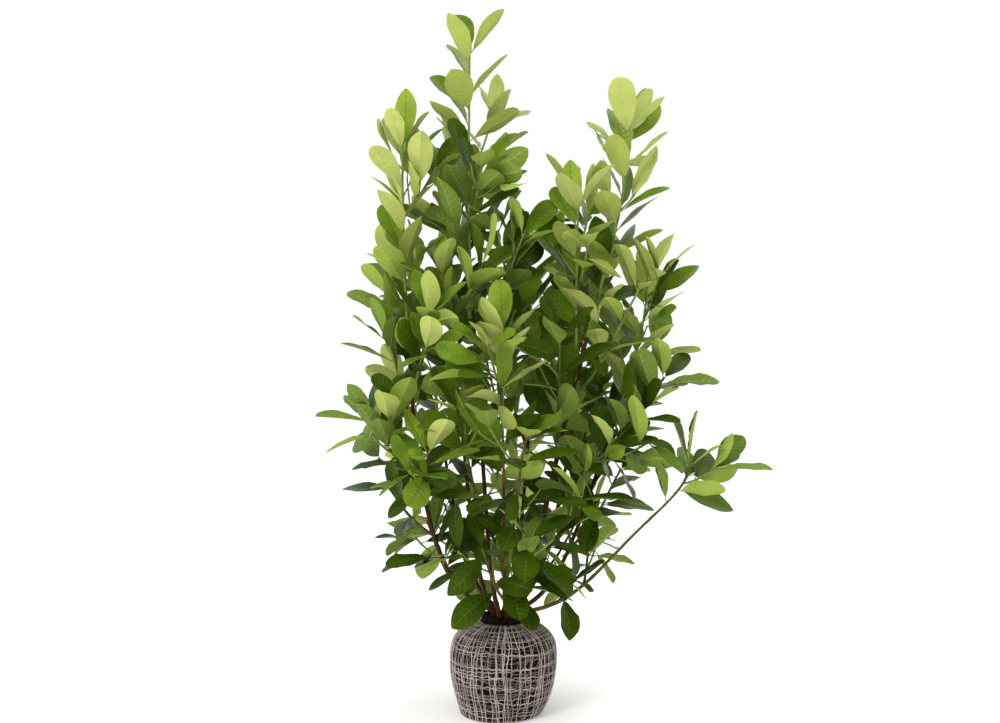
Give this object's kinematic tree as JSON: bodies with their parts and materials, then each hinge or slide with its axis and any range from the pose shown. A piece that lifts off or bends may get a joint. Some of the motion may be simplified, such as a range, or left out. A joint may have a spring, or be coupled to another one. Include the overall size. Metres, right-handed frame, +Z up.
{
  "type": "cherry laurel shrub with a netted root ball",
  "caption": "Tall evergreen laurel shrub with upright stems and broad glossy leaves, standing on its netted root ball.",
  "frame": {"origin": "centre of the root ball's flat underside", "axes": "+Z up along the shrub, +X to the right and -Y towards the viewer as pictured"},
  "size_m": [1.018, 0.6918, 1.5816],
  "materials": {
    "leaf": "glossy green leaf with a matte pale back",
    "bark": "red-brown young bark",
    "netted_soil": "dark soil under pale string netting",
    "hessian": "dark rolled hessian"
  },
  "bodies": {
    "root": {"foliage_back_centre_high": "leaf", "foliage_back_centre_low": "leaf", "foliage_back_centre_tip": "leaf", "foliage_back_foot": "leaf", "foliage_back_left_low": "leaf", "foliage_back_left_side": "leaf", "foliage_back_left_tip": "leaf", "foliage_back_right_side": "leaf", "foliage_back_right_tip": "leaf", "foliage_centre_front": "leaf", "foliage_centre_left_front": "leaf", "foliage_centre_left_high": "leaf", "foliage_centre_right_high": "leaf", "foliage_front_foot": "leaf", "foliage_front_low_left": "leaf", "foliage_front_low_right": "leaf", "foliage_front_tip": "leaf", "foliage_leader_centre": "leaf", "foliage_leader_inner": "leaf", "foliage_leader_left": "leaf", "foliage_leader_right": "leaf", "foliage_left_arm": "leaf", "foliage_left_foot": "leaf", "foliage_left_foot_back": "leaf", "foliage_left_front_high": "leaf", "foliage_left_front_mid": "leaf", "foliage_left_high": "leaf", "foliage_left_low": "leaf", "foliage_left_mid": "leaf", "foliage_low_right_tip": "leaf", "foliage_outer_right_tip": "leaf", "foliage_right_arm": "leaf", "foliage_right_back_arm": "leaf", "foliage_right_back_low": "leaf", "foliage_right_foot": "leaf", "foliage_right_foot_back": "leaf", "foliage_right_front_high": "leaf", "foliage_right_front_low": "leaf", "foliage_right_low": "leaf", "foliage_right_second": "leaf", "foliage_right_shoulder": "leaf", "hessian_collar": "hessian", "root_ball": "netted_soil", "stem_back_centre": "bark", "stem_back_left": "bark", "stem_back_right": "bark", "stem_centre": "bark", "stem_front": "bark", "stem_inner_left": "bark", "stem_left": "bark", "stem_low_right": "bark", "stem_outer_right": "bark", "stem_right": "bark"}
  },
  "joints": []
}
